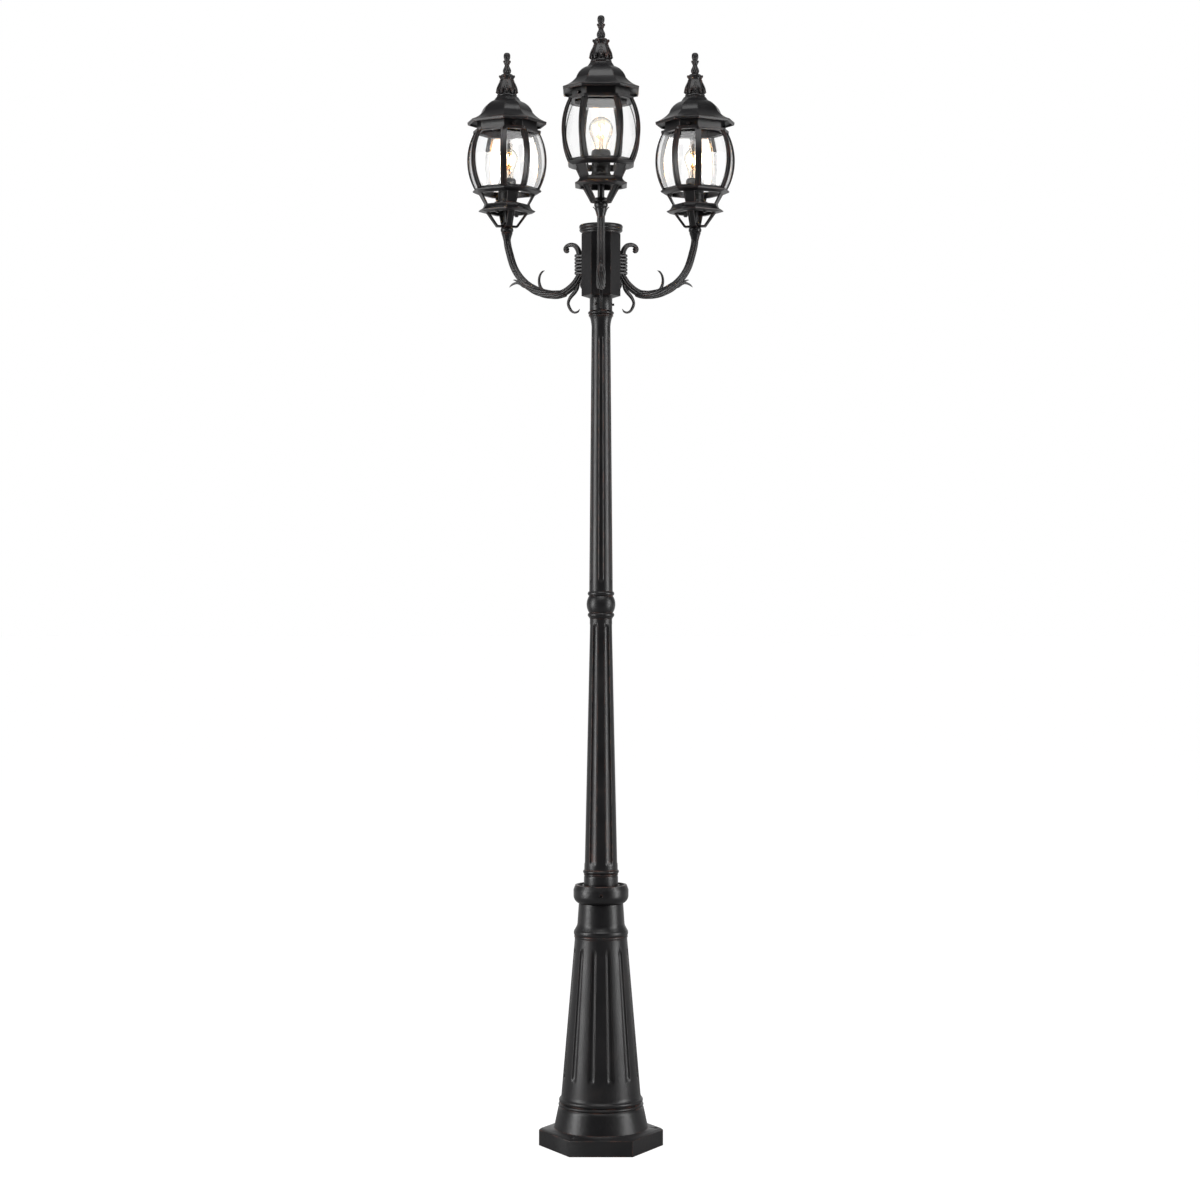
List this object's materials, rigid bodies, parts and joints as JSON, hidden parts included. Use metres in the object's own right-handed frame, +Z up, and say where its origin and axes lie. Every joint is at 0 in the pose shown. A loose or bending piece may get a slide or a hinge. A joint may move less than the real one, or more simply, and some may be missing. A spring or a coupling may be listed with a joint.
{
  "type": "lamp post",
  "caption": "Fluted lamp post on a hexagonal foot; a hub with curved, scrolled arms carries octagonal glazed lanterns whose roofs lift off above screw-in bulbs.",
  "frame": {"origin": "centre of the three anchor holes, on the ground under the foot", "axes": "+Z up along the post, -Y towards the front lantern and the viewer, +X to the viewer's right"},
  "size_m": [0.5852, 0.5235, 2.363],
  "materials": {
    "post_paint": "satin, lightly textured",
    "clear_glass": "clear, gloss",
    "black_socket": "matte",
    "brass_shell": "satin",
    "nickel_cap": "satin",
    "bulb_glass": "clear, gloss",
    "filament": "glowing",
    "plated_steel": "satin"
  },
  "bodies": {
    "post": {"base": "post_paint", "base_collar": "post_paint", "collar_screws": "post_paint", "lower_pole": "post_paint", "pole_coupling": "post_paint", "upper_pole": "post_paint", "hub": "post_paint", "fitter_screws": "post_paint", "hub_cap": "post_paint", "arm_bolts": "plated_steel", "front_arm": "post_paint", "front_basket": "post_paint", "front_cage": "post_paint", "front_glass_panes": "clear_glass", "front_socket_bar": "plated_steel", "front_bar_screws": "plated_steel", "front_nipple": "plated_steel", "front_locknut": "plated_steel", "front_socket": "black_socket", "front_socket_shell": "brass_shell", "right_arm": "post_paint", "right_basket": "post_paint", "right_cage": "post_paint", "right_glass_panes": "clear_glass", "right_socket_bar": "plated_steel", "right_bar_screws": "plated_steel", "right_nipple": "plated_steel", "right_locknut": "plated_steel", "right_socket": "black_socket", "right_socket_shell": "brass_shell", "left_arm": "post_paint", "left_basket": "post_paint", "left_cage": "post_paint", "left_glass_panes": "clear_glass", "left_socket_bar": "plated_steel", "left_bar_screws": "plated_steel", "left_nipple": "plated_steel", "left_locknut": "plated_steel", "left_socket": "black_socket", "left_socket_shell": "brass_shell"},
    "front_roof_unit": {"front_finial": "post_paint", "front_roof": "post_paint", "front_roof_screws": "post_paint"},
    "front_bulb_foot": {"front_bulb_cap": "nickel_cap"},
    "front_bulb_body": {"front_bulb_globe": "bulb_glass", "front_bulb_filament": "filament"},
    "right_roof_unit": {"right_finial": "post_paint", "right_roof": "post_paint", "right_roof_screws": "post_paint"},
    "right_bulb_foot": {"right_bulb_cap": "nickel_cap"},
    "right_bulb_body": {"right_bulb_globe": "bulb_glass", "right_bulb_filament": "filament"},
    "left_roof_unit": {"left_finial": "post_paint", "left_roof": "post_paint", "left_roof_screws": "post_paint"},
    "left_bulb_foot": {"left_bulb_cap": "nickel_cap"},
    "left_bulb_body": {"left_bulb_globe": "bulb_glass", "left_bulb_filament": "filament"}
  },
  "joints": [
    {"name": "front_roof_lift", "type": "slide", "parent": "post", "child": "front_roof_unit", "axis": [0, 0, 1], "range_m": [0, 0.15]},
    {"name": "front_bulb_rise", "type": "slide", "parent": "post", "child": "front_bulb_foot", "axis": [0, 0, 1], "range_m": [0, 0.0255]},
    {"name": "front_bulb_turn", "type": "hinge", "parent": "front_bulb_foot", "child": "front_bulb_body", "pos_m": [0, -0.2375, 2.0875], "axis": [0, 0, 1], "range_deg": [0, 2520]},
    {"name": "right_roof_lift", "type": "slide", "parent": "post", "child": "right_roof_unit", "axis": [0, 0, 1], "range_m": [0, 0.15]},
    {"name": "right_bulb_rise", "type": "slide", "parent": "post", "child": "right_bulb_foot", "axis": [0, 0, 1], "range_m": [0, 0.0255]},
    {"name": "right_bulb_turn", "type": "hinge", "parent": "right_bulb_foot", "child": "right_bulb_body", "pos_m": [0.20568, 0.11875, 2.0875], "axis": [0, 0, 1], "range_deg": [0, 2520]},
    {"name": "left_roof_lift", "type": "slide", "parent": "post", "child": "left_roof_unit", "axis": [0, 0, 1], "range_m": [0, 0.15]},
    {"name": "left_bulb_rise", "type": "slide", "parent": "post", "child": "left_bulb_foot", "axis": [0, 0, 1], "range_m": [0, 0.0255]},
    {"name": "left_bulb_turn", "type": "hinge", "parent": "left_bulb_foot", "child": "left_bulb_body", "pos_m": [-0.20568, 0.11875, 2.0875], "axis": [0, 0, 1], "range_deg": [0, 2520]}
  ],
  "couplings": [
    {"joint": "front_bulb_rise", "follows": "front_bulb_turn", "m_per_rad": 0.0005775},
    {"joint": "right_bulb_rise", "follows": "right_bulb_turn", "m_per_rad": 0.0005775},
    {"joint": "left_bulb_rise", "follows": "left_bulb_turn", "m_per_rad": 0.0005775}
  ]
}
